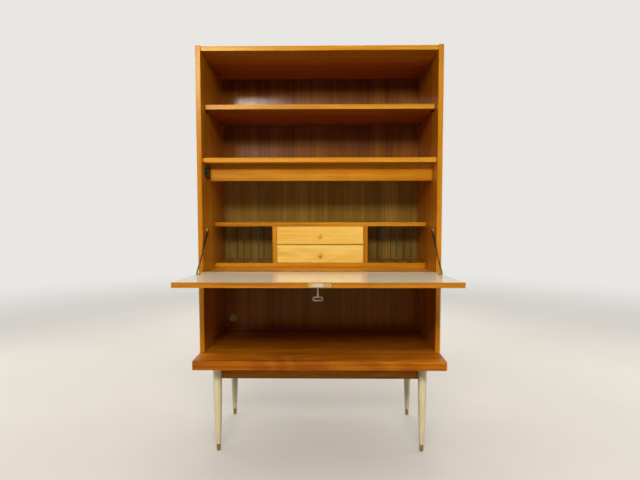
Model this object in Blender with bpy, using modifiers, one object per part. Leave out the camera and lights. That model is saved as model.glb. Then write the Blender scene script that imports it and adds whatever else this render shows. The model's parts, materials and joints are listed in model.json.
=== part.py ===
"""Tall secretary desk, at rest with its drop flap down.

Metres, +Z up, the front faces -Y. The origin is on the floor at the centre of the bounding box.
Depths are counted from the front edges of the two side panels: at(depth) gives their Y.
The flap and all that rides on it is drawn flat, in the frame of an empty on the flap's hinge axis.
"""

import math

import bmesh
import bpy
from mathutils import Matrix, Vector

# ---------------------------------------------------------------- driving dimensions
CASE_WIDTH = 1.000
CASE_DEPTH = 0.420
CASE_TOP = 1.682
BOARD = 0.020  # thickness of the side panels and of the load-bearing boards
EDGE = 0.0008  # rounding of the veneered edges
FIT = 0.0003  # gap between pieces that touch
TURNED_SIDES = 20
BACK_THICK = 0.004
BACK_INSET = 0.004  # the back panels lie this far inside the rear edges of the sides

SLAB_BOTTOM = 0.390
SLAB_THICK = 0.036
SLAB_OVERHANG = 0.116

TOP_BOARD_DROP = 0.002
TOP_BOARD_THICK = 0.019
TOP_BOARD_SETBACK = 0.005
ADJUSTABLE_SHELF_UNDERSIDE = 1.4383
ADJUSTABLE_SHELF_THICK = 0.0195
ADJUSTABLE_SHELF_SETBACK = 0.052
FIXED_SHELF_UNDERSIDE = 1.2165
FIXED_SHELF_THICK = 0.0188
FIXED_SHELF_SETBACK = 0.022
PELMET_HEIGHT = 0.071
PELMET_THICK = 0.016
PELMET_SETBACK = 0.0915

WRITING_HEIGHT = 0.762
HATCH_FLOOR_TOP = 0.758
FLAP_AXIS_SETBACK = 0.040
FLAP_LENGTH = 0.4515
FLAP_WIDTH = 0.957
FLAP_THICK = 0.018
FLAP_TILT = math.radians(2.55)  # the open flap rises this much towards its free edge
LAMINATE = 0.0010
LIPPING = 0.0020  # the wooden strip that covers the front edge of the laminate
HINGE_RADIUS = 0.0018
HINGE_LEAF = 0.0012
HINGE_GAP = 0.0021  # from the hinge axis to the wood on each side
HINGE_KNUCKLES = 19
HINGE_PIN_RADIUS = 0.0008
HINGE_LEAF_HEIGHT = 0.014

INSERT_SETBACK = 0.210
INSERT_BASE_THICK = 0.0212
INSERT_SHELF_UNDERSIDE = 0.9474
INSERT_SHELF_THICK = 0.0178
DIVIDER_INNER = 0.1965
GLASS_THICK = 0.004
GLASS_PER_SIDE = 3
GROOVE_DEPTH = 0.003

DRAWER_FRONT_THICK = 0.012
DRAWER_DEPTH = 0.185
DRAWER_WALL = 0.007
DRAWER_BOTTOM = 0.004
RUNNER_THICK = 0.004

STAY_UPPER_PIVOT = (0.070, 0.9295)  # depth and height
STAY_ELBOW = (-0.022, 0.8525)
STAY_FOOT = (-0.165, 0.007)  # Y and Z in the flap's own frame
STAY_LINKS = {"upper": (0.013, 0.0024), "lower": (0.009, 0.0020)}  # width and thickness
STAY_PLATE = 0.0018
STAY_GAP = 0.0006
STAY_PIN_RADIUS = 0.0022

LOCK_OFFSET = 0.006  # the lock sits a little to the right, so that its key is on the centre line
LOCK_PLATE = (0.076, 0.012, 0.0016)
LOCK_CASE = (0.056, 0.010, 0.034)
BOLT = (0.010, 0.0066, 0.013)
KEY_BACKSET = 0.024
KEY_DROP = 0.0455
KEY_SHAFT_RADIUS = 0.0027

LEG_X = 0.431
LEG_DEPTHS = {"front": 0.0175, "rear": 0.380}
LEG_TOP_RADIUS = 0.0178
LEG_FOOT_RADIUS = 0.0097
LEG_TAPER = 2.2
FERRULE_HEIGHT = 0.030
APRON_HEIGHT = 0.086
APRON_THICK = 0.018
CABLE_HOLE = (-0.441, 0.480)  # X and height of the round hole in the niche's back
CABLE_HOLE_RADIUS = 0.019

# ---------------------------------------------------------------- derived places
HALF = CASE_WIDTH / 2
INNER = HALF - BOARD
FLAP_REACH = FLAP_LENGTH * math.cos(FLAP_TILT) + FLAP_THICK * math.sin(FLAP_TILT)
FRONT = (FLAP_REACH - FLAP_AXIS_SETBACK - CASE_DEPTH) / 2
BACK_FRONT = CASE_DEPTH - BACK_INSET - BACK_THICK
BOARD_END = BACK_FRONT - FIT
SLAB_TOP = SLAB_BOTTOM + SLAB_THICK
INSERT_BASE_TOP = HATCH_FLOOR_TOP + FIT + INSERT_BASE_THICK
DIVIDER_OUTER = DIVIDER_INNER + BOARD


def at(depth):
    return FRONT + depth


# ---------------------------------------------------------------- scene and helpers
def clear_scene():
    for obj in list(bpy.data.objects):
        bpy.data.objects.remove(obj, do_unlink=True)


def new_collection(name):
    collection = bpy.data.collections.new(name)
    bpy.context.scene.collection.children.link(collection)
    return collection


clear_scene()
DESK = new_collection("secretary_desk")
CUTTERS = new_collection("cutters")
CUTTERS.hide_render = True


def material(name, color, roughness, metallic=0.0):
    mat = bpy.data.materials.new(name)
    mat.use_nodes = True
    shader = mat.node_tree.nodes["Principled BSDF"]
    shader.inputs["Base Color"].default_value = (*color, 1.0)
    shader.inputs["Roughness"].default_value = roughness
    shader.inputs["Metallic"].default_value = metallic
    mat.diffuse_color = (*color, 1.0)
    return mat


VENEER = material("honey_veneer", (0.55, 0.25, 0.06), 0.35)
BACK_VENEER = material("dark_back_veneer", (0.14, 0.05, 0.01), 0.3)
HATCH_BACK = material("olive_back_veneer", (0.22, 0.15, 0.05), 0.4)
MAPLE = material("maple", (0.85, 0.62, 0.28), 0.4)
LAMINATE_FINISH = material("ivory_laminate", (0.82, 0.74, 0.58), 0.12)
LEG_PAINT = material("ivory_paint", (0.78, 0.68, 0.42), 0.35)
BRASS = material("brass", (0.55, 0.38, 0.12), 0.3, 1.0)
STEEL = material("steel", (0.35, 0.33, 0.30), 0.35, 1.0)
GLASS = material("green_glass", (0.10, 0.18, 0.12), 0.05)
BLACK = material("black_plastic", (0.02, 0.02, 0.02), 0.5)
LAMP_WHITE = material("lamp_white", (0.9, 0.9, 0.86), 0.3)


def add_object(name, mesh, mat, location=(0, 0, 0), parent=None, rotation=(0, 0, 0)):
    obj = bpy.data.objects.new(name, mesh)
    obj.location = location
    obj.rotation_euler = rotation
    obj.parent = parent
    if mat:
        mesh.materials.append(mat)
        DESK.objects.link(obj)
    else:
        obj.hide_render = True
        obj.display_type = "WIRE"
        CUTTERS.objects.link(obj)
    return obj


def box_mesh(name, sizes, places=((0, 0, 0),)):
    """One mesh of equal boxes, each centred on a place."""
    build = bmesh.new()
    for place in places:
        matrix = Matrix.Translation(place) @ Matrix.Diagonal((*sizes, 1))
        bmesh.ops.create_cube(build, size=1, matrix=matrix)
    mesh = bpy.data.meshes.new(name)
    build.to_mesh(mesh)
    build.free()
    return mesh


def board(name, low, high, mat, edge=EDGE, parent=None):
    """A box from one corner to the other, with its origin at its centre and rounded edges."""
    low, high = Vector(low), Vector(high)
    obj = add_object(name, box_mesh(name, high - low), mat, (low + high) / 2, parent)
    if edge:
        bevel = obj.modifiers.new("edge", "BEVEL")
        bevel.width = edge
        bevel.segments = 2
        obj.data.shade_smooth()
        obj.data.set_sharp_from_angle(angle=math.radians(35))
    return obj


def block(name, low, high, parent=None):
    """A cutter or a helper solid."""
    return board(name, low, high, None, edge=0, parent=parent)


def boolean(obj, other, operation):
    modifier = obj.modifiers.new(f"{operation.lower()}_{other.name}", "BOOLEAN")
    modifier.operation = operation
    modifier.solver = "EXACT"
    modifier.object = other


def cut(obj, *others):
    for other in others:
        boolean(obj, other, "DIFFERENCE")


def join(obj, *others):
    for other in others:
        boolean(obj, other, "UNION")


def rod(name, mat, radius, length, location, rotation=(0, 0, 0), sides=24, parent=None):
    """A closed cylinder along its own Z axis, centred on its location."""
    build = bmesh.new()
    bmesh.ops.create_cone(
        build, cap_ends=True, segments=sides, radius1=radius, radius2=radius, depth=length
    )
    mesh = bpy.data.meshes.new(name)
    build.to_mesh(mesh)
    build.free()
    mesh.shade_smooth()
    mesh.set_sharp_from_angle(angle=math.radians(35))
    return add_object(name, mesh, mat, location, parent, rotation)


def turned(name, profile, mat, location, rotation=(0, 0, 0)):
    """A turned piece: the profile is (radius, height), down its outer side."""
    mesh = bpy.data.meshes.new(name)
    points = [(radius, 0, height) for radius, height in profile]
    mesh.from_pydata(points, [(i, i + 1) for i in range(len(points) - 1)], [])
    obj = add_object(name, mesh, mat, location, None, rotation)
    screw = obj.modifiers.new("turn", "SCREW")
    screw.steps = TURNED_SIDES
    screw.render_steps = TURNED_SIDES
    screw.use_merge_vertices = True
    screw.merge_threshold = 0.00001
    screw.use_smooth_shade = True
    return obj


def arc(center, radius, start, end, count):
    """Points on an arc, angles in degrees."""
    angles = [math.radians(start + (end - start) * i / (count - 1)) for i in range(count)]
    return [
        (center[0] + radius * math.cos(a), center[1] + radius * math.sin(a)) for a in angles
    ]


def circle(center, radius, count=16):
    return arc(center, radius, 0, 360 - 360 / count, count)


def stadium(length, width, start=0.0, count=7):
    """A strip with round ends. Its end centres are at X = start and X = start + length."""
    right = arc((start + length, 0), width / 2, -90, 90, count)
    left = arc((start, 0), width / 2, 90, 270, count)
    return right + left


def rounded_rectangle(width, height, radius, count=6):
    x, y = width / 2 - radius, height / 2 - radius
    corners = ((x, -y, -90), (x, y, 0), (-x, y, 90), (-x, -y, 180))
    return [p for cx, cy, a in corners for p in arc((cx, cy), radius, a, a + 90, count)]


def flat_mesh(name, outlines, thickness):
    """The mesh of a flat piece: the first outline is its edge, the others are its holes."""
    curve = bpy.data.curves.new(name, "CURVE")
    curve.dimensions = "2D"
    curve.fill_mode = "BOTH"
    curve.extrude = thickness / 2
    for outline in outlines:
        spline = curve.splines.new("POLY")
        spline.points.add(len(outline) - 1)
        spline.use_cyclic_u = True
        for point, (x, y) in zip(spline.points, outline):
            point.co = (x, y, 0, 1)
    draft = bpy.data.objects.new(name, curve)
    DESK.objects.link(draft)
    graph = bpy.context.evaluated_depsgraph_get()
    mesh = bpy.data.meshes.new_from_object(draft.evaluated_get(graph))
    bpy.data.objects.remove(draft, do_unlink=True)
    build = bmesh.new()
    build.from_mesh(mesh)
    bmesh.ops.remove_doubles(build, verts=build.verts, dist=0.00001)
    bmesh.ops.recalc_face_normals(build, faces=build.faces)
    build.to_mesh(mesh)
    build.free()
    mesh.shade_smooth()
    mesh.set_sharp_from_angle(angle=math.radians(35))
    return mesh


def flat(name, outlines, thickness, mat, location, rotation=(0, 0, 0), parent=None):
    mesh = flat_mesh(name, outlines, thickness)
    return add_object(name, mesh, mat, location, parent, rotation)


def in_side_plane(direction):
    """Rotation that lays a flat piece in the YZ plane with its own X along a (Y, Z) direction."""
    along = Vector((0, *direction)).normalized()
    across = Vector((1, 0, 0))
    turn = Matrix((along, across.cross(along), across)).transposed()
    return turn.to_euler()


QUARTER = math.pi / 2
ALONG_X = (0, QUARTER, 0)
ALONG_Y = (QUARTER, 0, 0)
SIDES = {"left": -1, "right": 1}


def mirrored(side, low, high):
    """The X range of a piece on one side, given its distances from the middle."""
    return sorted((SIDES[side] * low, SIDES[side] * high))


# ---------------------------------------------------------------- case
def make_case():
    for side in SIDES:
        x0, x1 = mirrored(side, INNER, HALF)
        low = (x0, at(0), SLAB_TOP + FIT)
        board(f"side_panel_{side}", low, (x1, at(CASE_DEPTH), CASE_TOP), VENEER)

    top = CASE_TOP - TOP_BOARD_DROP
    span = INNER - FIT
    board(
        "top_board",
        (-span, at(TOP_BOARD_SETBACK), top - TOP_BOARD_THICK),
        (span, at(BOARD_END), top),
        VENEER,
    )
    shelf = board(
        "fixed_shelf",
        (-span, at(FIXED_SHELF_SETBACK), FIXED_SHELF_UNDERSIDE),
        (span, at(BOARD_END), FIXED_SHELF_UNDERSIDE + FIXED_SHELF_THICK),
        VENEER,
    )
    board(
        "hatch_floor",
        (-span, at(FLAP_AXIS_SETBACK + HINGE_GAP), HATCH_FLOOR_TOP - BOARD),
        (span, at(BOARD_END), HATCH_FLOOR_TOP),
        VENEER,
    )
    pelmet_top = FIXED_SHELF_UNDERSIDE - FIT
    board(
        "pelmet_rail",
        (-span, at(PELMET_SETBACK), pelmet_top - PELMET_HEIGHT),
        (span, at(PELMET_SETBACK + PELMET_THICK), pelmet_top),
        VENEER,
    )
    make_strike(shelf)
    make_backs()
    make_adjustable_shelf()


def make_backs():
    """Three back panels, which meet behind the middle of the fixed shelf and of the hatch floor."""
    seams = [
        SLAB_TOP + FIT,
        HATCH_FLOOR_TOP - BOARD / 2,
        FIXED_SHELF_UNDERSIDE + FIXED_SHELF_THICK / 2,
        CASE_TOP - TOP_BOARD_DROP,
    ]
    names = ("niche_back_panel", "hatch_back_panel", "upper_back_panel")
    finishes = (BACK_VENEER, HATCH_BACK, BACK_VENEER)
    half_width = INNER - FIT
    panels = {}
    for name, finish, bottom, top in zip(names, finishes, seams, seams[1:]):
        low = (-half_width, at(BACK_FRONT), bottom)
        high = (half_width, at(BACK_FRONT + BACK_THICK), top - FIT)
        panels[name] = board(name, low, high, finish, edge=0)
    hole_x, hole_z = CABLE_HOLE
    hole = rod(
        "cable_hole_cutter",
        None,
        CABLE_HOLE_RADIUS,
        4 * BACK_THICK,
        (hole_x, at(BACK_FRONT + BACK_THICK / 2), hole_z),
        ALONG_Y,
        sides=32,
    )
    cut(panels["niche_back_panel"], hole)


def make_adjustable_shelf():
    clearance = 0.0025
    span = INNER - clearance
    bottom = ADJUSTABLE_SHELF_UNDERSIDE
    board(
        "adjustable_shelf",
        (-span, at(ADJUSTABLE_SHELF_SETBACK), bottom),
        (span, at(BOARD_END - clearance), bottom + ADJUSTABLE_SHELF_THICK),
        VENEER,
    )
    pin_radius, pin_length = 0.0030, 0.0090
    pin_depths = {"front": 0.085, "rear": 0.360}
    for end, depth in pin_depths.items():
        for side, sign in SIDES.items():
            x = sign * (INNER - FIT - pin_length / 2)
            place = (x, at(depth), bottom - FIT - pin_radius)
            rod(f"shelf_pin_{end}_{side}", BLACK, pin_radius, pin_length, place, ALONG_X, sides=16)


def make_strike(shelf):
    """The flap's bolt shoots up through this plate into the fixed shelf."""
    x = LOCK_OFFSET
    depth = FLAP_AXIS_SETBACK - FLAP_THICK / 2
    plate_x, plate_y, plate_z = 0.050, 0.013, 0.0012
    slot_x, slot_y, slot_z = 0.015, 0.0090, 0.012
    underside, overrun = FIXED_SHELF_UNDERSIDE, 0.005

    def around(half_x, half_y, z0, z1):
        return (x - half_x, at(depth) - half_y, z0), (x + half_x, at(depth) + half_y, z1)

    below = underside - overrun
    recess = block(
        "strike_recess_cutter",
        *around(plate_x / 2 + FIT, plate_y / 2 + FIT, below, underside + plate_z + FIT),
    )
    mortise = block(
        "strike_mortise_cutter",
        *around(slot_x / 2 + FIT, slot_y / 2 + FIT, below, underside + slot_z),
    )
    cut(shelf, recess, mortise)
    plate = board(
        "strike_plate",
        *around(plate_x / 2, plate_y / 2, underside, underside + plate_z),
        BRASS,
        edge=0,
    )
    slot = around(slot_x / 2, slot_y / 2, below, underside + overrun)
    cut(plate, block("strike_slot_cutter", *slot))


# ---------------------------------------------------------------- lamp and its switch
def make_lamp():
    """A strip lamp that the pelmet hides: a holder with two sockets, and the tube between them."""
    half_length, depth = 0.190, 0.165
    top = FIXED_SHELF_UNDERSIDE - FIT
    holder_half_depth, holder_height = 0.019, 0.022
    socket_half_depth, socket_drop, socket_thick, inset = 0.013, 0.028, 0.016, 0.001
    tube_radius = 0.0085
    lamp = board(
        "strip_lamp",
        (-half_length, at(depth - holder_half_depth), top - holder_height),
        (half_length, at(depth + holder_half_depth), top),
        LAMP_WHITE,
        edge=0.002,
    )
    tube_z = top - holder_height - socket_drop / 2
    tube_length = 2 * (half_length - socket_thick / 2)
    tube_place = (0, at(depth), tube_z)
    join(lamp, rod("lamp_tube", None, tube_radius, tube_length, tube_place, ALONG_X, sides=20))
    for side in SIDES:
        x0, x1 = mirrored(side, half_length - socket_thick, half_length - inset)
        low = (x0, at(depth - socket_half_depth), top - holder_height - socket_drop)
        high = (x1, at(depth + socket_half_depth), top - 2 * inset)
        join(lamp, block(f"lamp_socket_{side}", low, high))


def make_switch():
    """A door-contact switch on the left side: the closed flap pushes its plunger in."""
    outer = -(INNER - FIT)
    width = 0.014
    depth0, depth1 = 0.047, 0.088
    z0, z1 = 1.157, 1.199
    housing = board(
        "switch_housing",
        (outer, at(depth0), z0),
        (outer + width, at(depth1), z1),
        BLACK,
        edge=0.0015,
    )
    x, z = outer + width / 2, (z0 + z1) / 2
    plunger_radius, play, bore_depth = 0.0034, 0.0006, 0.030
    bore_place = (x, at(depth0), z)
    bore_radius = plunger_radius + play
    length = 2 * bore_depth
    cut(housing, rod("switch_bore_cutter", None, bore_radius, length, bore_place, ALONG_Y, sides=20))
    tip, tail = 0.0330, 0.0640
    place = (x, at((tip + tail) / 2), z)
    rod("switch_plunger", BLACK, plunger_radius, tail - tip, place, ALONG_Y, sides=20)


# ---------------------------------------------------------------- insert with drawers and glass
def make_insert():
    span = INNER - FIT
    shelf_top = INSERT_SHELF_UNDERSIDE + INSERT_SHELF_THICK
    shelf = board(
        "insert_shelf",
        (-span, at(INSERT_SETBACK), INSERT_SHELF_UNDERSIDE),
        (span, at(BOARD_END), shelf_top),
        VENEER,
    )
    base = board(
        "insert_base",
        (-span, at(INSERT_SETBACK), HATCH_FLOOR_TOP + FIT),
        (span, at(BOARD_END), INSERT_BASE_TOP),
        VENEER,
    )
    bottom, top = INSERT_BASE_TOP + FIT, INSERT_SHELF_UNDERSIDE - FIT
    for side in SIDES:
        x0, x1 = mirrored(side, DIVIDER_INNER, DIVIDER_OUTER)
        low = (x0, at(INSERT_SETBACK), bottom)
        board(f"insert_divider_{side}", low, (x1, at(BOARD_END), top), VENEER)
    make_glass(shelf, base)
    make_drawers()


def make_glass(shelf, base):
    """Glass panes that stand in grooves of the two boards and part each side into four."""
    bay = (INNER - DIVIDER_OUTER) / (GLASS_PER_SIDE + 1)
    offsets = [DIVIDER_OUTER + bay * (i + 1) for i in range(GLASS_PER_SIDE)]
    places = [-x for x in reversed(offsets)] + offsets
    z0 = INSERT_BASE_TOP - GROOVE_DEPTH
    z1 = INSERT_SHELF_UNDERSIDE + GROOVE_DEPTH
    front_setback, rear_play = 0.003, 0.001
    y0, y1 = at(INSERT_SETBACK + front_setback), at(BOARD_END - rear_play)
    center_y, center_z = (y0 + y1) / 2, (z0 + z1) / 2
    for number, x in enumerate(places, 1):
        size = (GLASS_THICK, y1 - y0, z1 - z0 - 2 * FIT)
        mesh = box_mesh(f"glass_divider_{number}", size)
        add_object(f"glass_divider_{number}", mesh, GLASS, (x, center_y, center_z))
    groove = (GLASS_THICK + 2 * FIT, y1 - y0 + 2 * FIT, z1 - z0)
    mesh = box_mesh("groove_cutters", groove, [(x, 0, 0) for x in places])
    cutters = add_object("groove_cutters", mesh, None, (0, center_y, center_z))
    cut(shelf, cutters)
    cut(base, cutters)


def make_drawers():
    """Two drawers, one over the other, with a thin runner board between them."""
    play, rim_drop, knob_drop = 0.0010, 0.008, 0.004
    bottom = INSERT_BASE_TOP + play
    top = INSERT_SHELF_UNDERSIDE - play
    runner_z = (bottom + top) / 2 - RUNNER_THICK / 2
    half = DIVIDER_INNER - play / 2
    front = INSERT_SETBACK + play
    board(
        "drawer_runner",
        (-DIVIDER_INNER + FIT, at(front + DRAWER_FRONT_THICK / 3), runner_z),
        (DIVIDER_INNER - FIT, at(BOARD_END), runner_z + RUNNER_THICK),
        VENEER,
        edge=0,
    )
    levels = {
        "lower": (bottom, runner_z - play),
        "upper": (runner_z + RUNNER_THICK + play, top),
    }
    for level, (z0, z1) in levels.items():
        body = front + DRAWER_FRONT_THICK
        board(
            f"drawer_{level}_front",
            (-half, at(front), z0),
            (half, at(body), z1),
            MAPLE,
            edge=0.0012,
        )
        box_low = (-half + play, at(body) + FIT, z0 + FIT)
        box_high = (half - play, at(front + DRAWER_DEPTH), z1 - rim_drop)
        box = board(f"drawer_{level}_box", box_low, box_high, MAPLE, edge=0)
        hollow = block(
            f"drawer_{level}_cutter",
            (box_low[0] + DRAWER_WALL, box_low[1] + DRAWER_WALL, z0 + DRAWER_BOTTOM),
            (box_high[0] - DRAWER_WALL, box_high[1] - DRAWER_WALL, z1 + rim_drop),
        )
        cut(box, hollow)
        make_knob(f"drawer_{level}_knob", at(front) - FIT, (z0 + z1) / 2 - knob_drop)


def make_knob(name, face_y, z):
    head, neck, foot, length, rounding = 0.0095, 0.0045, 0.0060, 0.0165, 0.0035
    rim = arc((head - rounding, length - 1.3 * rounding), rounding, 60, -50, 5)
    stem = [(neck, length * 0.38), (neck, length * 0.12), (foot, 0), (0, 0)]
    turned(name, [(0, length)] + rim + stem, MAPLE, (0, face_y, z), ALONG_Y)


# ---------------------------------------------------------------- base
def make_base():
    slab = board(
        "base_slab",
        (-HALF, at(-SLAB_OVERHANG), SLAB_BOTTOM),
        (HALF, at(CASE_DEPTH), SLAB_TOP),
        VENEER,
        edge=0.0016,
    )
    slab.modifiers["edge"].segments = 3

    half_width, overrun = LEG_X, 0.01
    clear = LEG_TOP_RADIUS + 0.0005
    front_y = at(LEG_DEPTHS["front"] + clear)
    rear_y = at(LEG_DEPTHS["rear"] - clear)
    top = SLAB_BOTTOM - FIT
    low, high = (-half_width, front_y, top - APRON_HEIGHT), (half_width, rear_y, top)
    frame = board("apron_frame", low, high, VENEER)
    wall = Vector((APRON_THICK, APRON_THICK, -overrun))
    middle = block("apron_cutter", Vector(low) + wall, Vector(high) - wall)
    cut(frame, middle)
    for end, depth in LEG_DEPTHS.items():
        for side, sign in SIDES.items():
            make_leg(f"{end}_{side}", (sign * LEG_X, at(depth), 0))


def make_leg(name, foot):
    """A turned leg, fullest near its top, whose spigot stands in a brass cup."""
    spigot_radius, cup_floor, wall, rounding = 0.0072, 0.004, 0.0004, 0.0015
    top = SLAB_BOTTOM - FIT
    length = top - FERRULE_HEIGHT
    rows = 8
    outline = [(0, top), (LEG_TOP_RADIUS - rounding, top)]
    for i in range(rows + 1):
        share = 1 - i / rows
        radius = LEG_FOOT_RADIUS + (LEG_TOP_RADIUS - LEG_FOOT_RADIUS) * (
            1 - (1 - share) ** LEG_TAPER
        )
        outline.append((radius, FERRULE_HEIGHT + (length - rounding) * share))
    spigot_end = cup_floor + FIT
    outline += [(spigot_radius, FERRULE_HEIGHT), (spigot_radius, spigot_end), (0, spigot_end)]
    turned(f"leg_{name}", outline, LEG_PAINT, foot)

    rim = LEG_FOOT_RADIUS - wall / 2
    inner = spigot_radius + FIT
    height = FERRULE_HEIGHT - FIT
    cup = [
        (0, cup_floor),
        (inner, cup_floor),
        (inner, height),
        (rim, height),
        (rim - 0.0006, 0.0040),
        (rim - 0.0018, 0.0008),
        (rim - 0.0026, 0),
        (0, 0),
    ]
    turned(f"ferrule_{name}", cup, BRASS, foot)


# ---------------------------------------------------------------- flap
def make_hinge(pivot):
    """A piano hinge: two leaves between floor and flap, with their knuckles by turns on one pin."""
    end_setback, root = 0.002, 0.002
    half = FLAP_WIDTH / 2 - end_setback
    pitch = 2 * half / HINGE_KNUCKLES
    leaf_top = -HINGE_RADIUS - 0.0004
    inner = HINGE_RADIUS - HINGE_LEAF
    round_end = math.degrees(math.acos(inner / HINGE_RADIUS))
    rows = {"case": range(0, HINGE_KNUCKLES, 2), "flap": range(1, HINGE_KNUCKLES, 2)}
    leaves = {}
    for name, sign in (("case", 1), ("flap", -1)):
        parent = None if name == "case" else pivot
        origin = pivot.location if name == "case" else Vector((0, 0, 0))
        y0, y1 = sorted((sign * inner, sign * HINGE_RADIUS))
        low = origin + Vector((-half, y0, leaf_top - HINGE_LEAF_HEIGHT))
        high = origin + Vector((half, y1, leaf_top))
        leaf = board(f"hinge_leaf_{name}", low, high, BRASS, edge=0, parent=parent)
        outline = [(HINGE_RADIUS, leaf_top - root)]
        outline += arc((0, 0), HINGE_RADIUS, 0, 360 - round_end, 9)
        outline += [(inner, leaf_top - root)]
        outline = [(sign * y, z) for y, z in outline]
        length = pitch - 2 * FIT
        shape = flat_mesh(f"knuckles_{name}", [outline], length)
        build = bmesh.new()
        for row in rows[name]:
            x = -half + pitch * (row + 0.5)
            piece = bmesh.new()
            piece.from_mesh(shape)
            turn = Matrix.Translation((x, 0, 0)) @ in_side_plane((1, 0)).to_matrix().to_4x4()
            bmesh.ops.transform(piece, matrix=turn, verts=piece.verts)
            copy = bpy.data.meshes.new("knuckle_copy")
            piece.to_mesh(copy)
            piece.free()
            build.from_mesh(copy)
            bpy.data.meshes.remove(copy)
        bmesh.ops.recalc_face_normals(build, faces=build.faces)
        build.to_mesh(shape)
        build.free()
        join(leaf, add_object(f"knuckles_{name}", shape, None, origin, parent))
        leaves[name] = leaf
    radius, length, overrun = HINGE_PIN_RADIUS, 2 * (half - end_setback), 0.02
    join(leaves["case"], rod("hinge_pin", None, radius, length, pivot.location, ALONG_X, sides=12))
    radius, length = radius + FIT, length + overrun
    bore = rod("hinge_bore_cutter", None, radius, length, (0, 0, 0), ALONG_X, 12, pivot)
    cut(leaves["flap"], bore)


def make_flap(pivot):
    half = FLAP_WIDTH / 2
    wood = board(
        "flap_board",
        (-half, -FLAP_LENGTH, -FLAP_THICK),
        (half, -HINGE_GAP, 0),
        VENEER,
        parent=pivot,
    )
    overrun = 0.01
    recess = block(
        "laminate_recess_cutter",
        (-half - overrun, -FLAP_LENGTH + LIPPING, -LAMINATE - FIT),
        (half + overrun, overrun, overrun),
        pivot,
    )
    cut(wood, recess)
    board(
        "writing_surface",
        (-half, -FLAP_LENGTH + LIPPING + FIT, -LAMINATE),
        (half, -HINGE_GAP, 0),
        LAMINATE_FINISH,
        edge=0,
        parent=pivot,
    )
    make_lock(wood, pivot)


def make_lock(wood, pivot):
    """The lock in the flap's free edge: its plate and case, its bolt and its key."""
    x, y, z = LOCK_OFFSET, -FLAP_LENGTH, -FLAP_THICK / 2
    plate_x, plate_z, plate_y = LOCK_PLATE
    case_x, case_z, case_y = LOCK_CASE
    center_span, overrun = plate_x - plate_z, 0.005

    def plate(name, grow, y0, y1, mat):
        outline = stadium(center_span, plate_z + 2 * grow, -center_span / 2)
        place = (x, (y0 + y1) / 2, z)
        return flat(name, [outline], y1 - y0, mat, place, ALONG_Y, pivot)

    def pocket(name, grow, y0, y1):
        half_x, half_z = case_x / 2 + grow, case_z / 2 + grow
        return block(name, (x - half_x, y0, z - half_z), (x + half_x, y1, z + half_z), pivot)

    lock = plate("lock_case", 0, y, y + plate_y, BRASS)
    join(lock, pocket("lock_body", 0, y + plate_y / 2, y + case_y))
    cut(
        wood,
        plate("lock_plate_recess", FIT, y - overrun, y + plate_y + FIT, None),
        pocket("lock_pocket", FIT, y + plate_y / 2, y + case_y + FIT),
    )

    bolt_x, bolt_z, bolt_y = BOLT
    bolt_end = y + FIT + bolt_y
    board(
        "lock_bolt",
        (x - bolt_x / 2, y + FIT, z - bolt_z / 2),
        (x + bolt_x / 2, bolt_end, z + bolt_z / 2),
        BRASS,
        edge=0,
        parent=pivot,
    )
    channel = block(
        "bolt_channel_cutter",
        (x - bolt_x / 2 - FIT, y - overrun, z - bolt_z / 2 - FIT),
        (x + bolt_x / 2 + FIT, bolt_end + 3 * FIT, z + bolt_z / 2 + FIT),
        pivot,
    )
    key_y = y + KEY_BACKSET
    hole_radius = KEY_SHAFT_RADIUS + 2 * FIT
    hole_top = z + 0.0010
    hole_bottom = -FLAP_THICK - overrun
    keyhole = rod(
        "keyhole_cutter",
        None,
        hole_radius,
        hole_top - hole_bottom,
        (0, key_y, (hole_top + hole_bottom) / 2),
        sides=20,
        parent=pivot,
    )
    cut(lock, channel, keyhole)
    cut(wood, keyhole)
    make_key((0, key_y), hole_top - 5 * FIT, pivot)


def make_key(place, shaft_top, pivot):
    """The key hangs from the flap's outer face: a shaft with a looped bow, wider at its end."""
    bow_width, bow_height, bow_wire, flare = 0.0360, 0.0138, 0.0032, 0.0022
    outer_rounding, inner_rounding = 0.0050, 0.0022
    collar_radius, collar_height = 0.0038, 0.0035
    x, y = place
    bow_z = -FLAP_THICK - KEY_DROP + bow_height / 2
    shaft_bottom = bow_z + bow_height / 2 - bow_wire / 2
    key = rod(
        "key",
        STEEL,
        KEY_SHAFT_RADIUS,
        shaft_top - shaft_bottom,
        (x, y, (shaft_top + shaft_bottom) / 2),
        sides=20,
        parent=pivot,
    )
    outlines = [
        rounded_rectangle(bow_width, bow_height, outer_rounding),
        rounded_rectangle(bow_width - 2 * bow_wire, bow_height - 2 * bow_wire, inner_rounding),
    ]
    outlines = [
        [(px * (1 - flare / bow_width * (1 + 2 * py / bow_height)), py) for px, py in outline]
        for outline in outlines
    ]
    bow = flat("key_bow", outlines, bow_wire, None, (x, y, bow_z), ALONG_Y, pivot)
    collar_place = (x, y, shaft_bottom + collar_height)
    collar = rod("key_collar", None, collar_radius, collar_height, collar_place, parent=pivot)
    join(key, collar, bow)


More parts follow.
